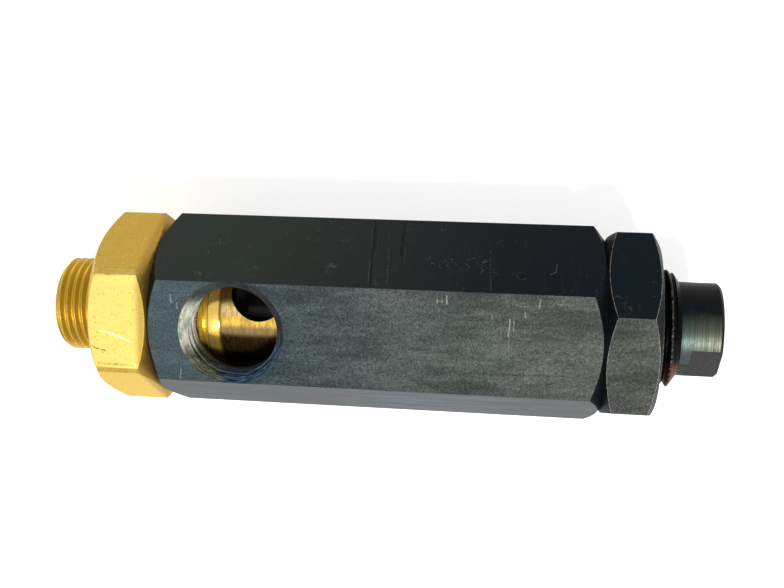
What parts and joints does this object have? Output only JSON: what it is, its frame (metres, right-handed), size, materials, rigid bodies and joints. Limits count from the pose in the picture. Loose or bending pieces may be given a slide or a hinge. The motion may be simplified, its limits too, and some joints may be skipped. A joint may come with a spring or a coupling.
{
  "type": "safety valve",
  "caption": "Spring loaded in line safety valve: brass male inlet nozzle, black hexagonal steel body with a side outlet port, adjusting screw and lock nut.",
  "frame": {"origin": "on the axis at the inlet shoulder, where the male inlet thread meets the nozzle's hexagon", "axes": "+X along the axis from the inlet to the adjusting screw, +Z out of the outlet port; the valve lies on its side with the port up"},
  "size_m": [0.115, 0.0346, 0.0326],
  "materials": {
    "blackened_steel": "worn black oxide",
    "brass": "machined, tarnished",
    "stainless_steel": "turned",
    "spring_steel": "drawn wire",
    "rubber": "moulded",
    "sealing_plastic": "turned"
  },
  "bodies": {
    "housing": {"valve_body": "blackened_steel", "inlet_nozzle": "brass", "nozzle_o_ring": "rubber"},
    "closing_group": {"piston": "stainless_steel", "piston_ring": "sealing_plastic", "seat_seal": "sealing_plastic", "seal_washer": "stainless_steel", "seal_screw": "stainless_steel", "thrust_ball": "stainless_steel", "spindle": "stainless_steel", "lower_spring_plate": "stainless_steel", "main_spring": "spring_steel"},
    "spring_carrier": {"upper_spring_plate": "stainless_steel", "shim_washer": "stainless_steel"},
    "screw_group": {"adjusting_screw": "blackened_steel", "screw_o_ring": "rubber"},
    "nut": {"lock_nut": "blackened_steel"}
  },
  "joints": [
    {"name": "valve_lift", "type": "slide", "parent": "housing", "child": "closing_group", "axis": [1, 0, 0], "range_m": [0, 0.002], "stiffness_N_per_m": 15300, "springref_m": -0.008, "deforming": ["main_spring"]},
    {"name": "screw_travel", "type": "slide", "parent": "housing", "child": "spring_carrier", "axis": [1, 0, 0], "range_m": [-0.002, 0.002]},
    {"name": "screw_turn", "type": "hinge", "parent": "spring_carrier", "child": "screw_group", "pos_m": [0.08, 0, 0], "axis": [1, 0, 0], "range_deg": [-480, 480]},
    {"name": "lock_nut_turn", "type": "hinge", "parent": "housing", "child": "nut", "pos_m": [0.091, 0, 0], "axis": [1, 0, 0], "range_deg": [0, 360]}
  ],
  "couplings": [
    {"joint": "screw_turn", "follows": "screw_travel", "rad_per_m": 4188.8}
  ]
}
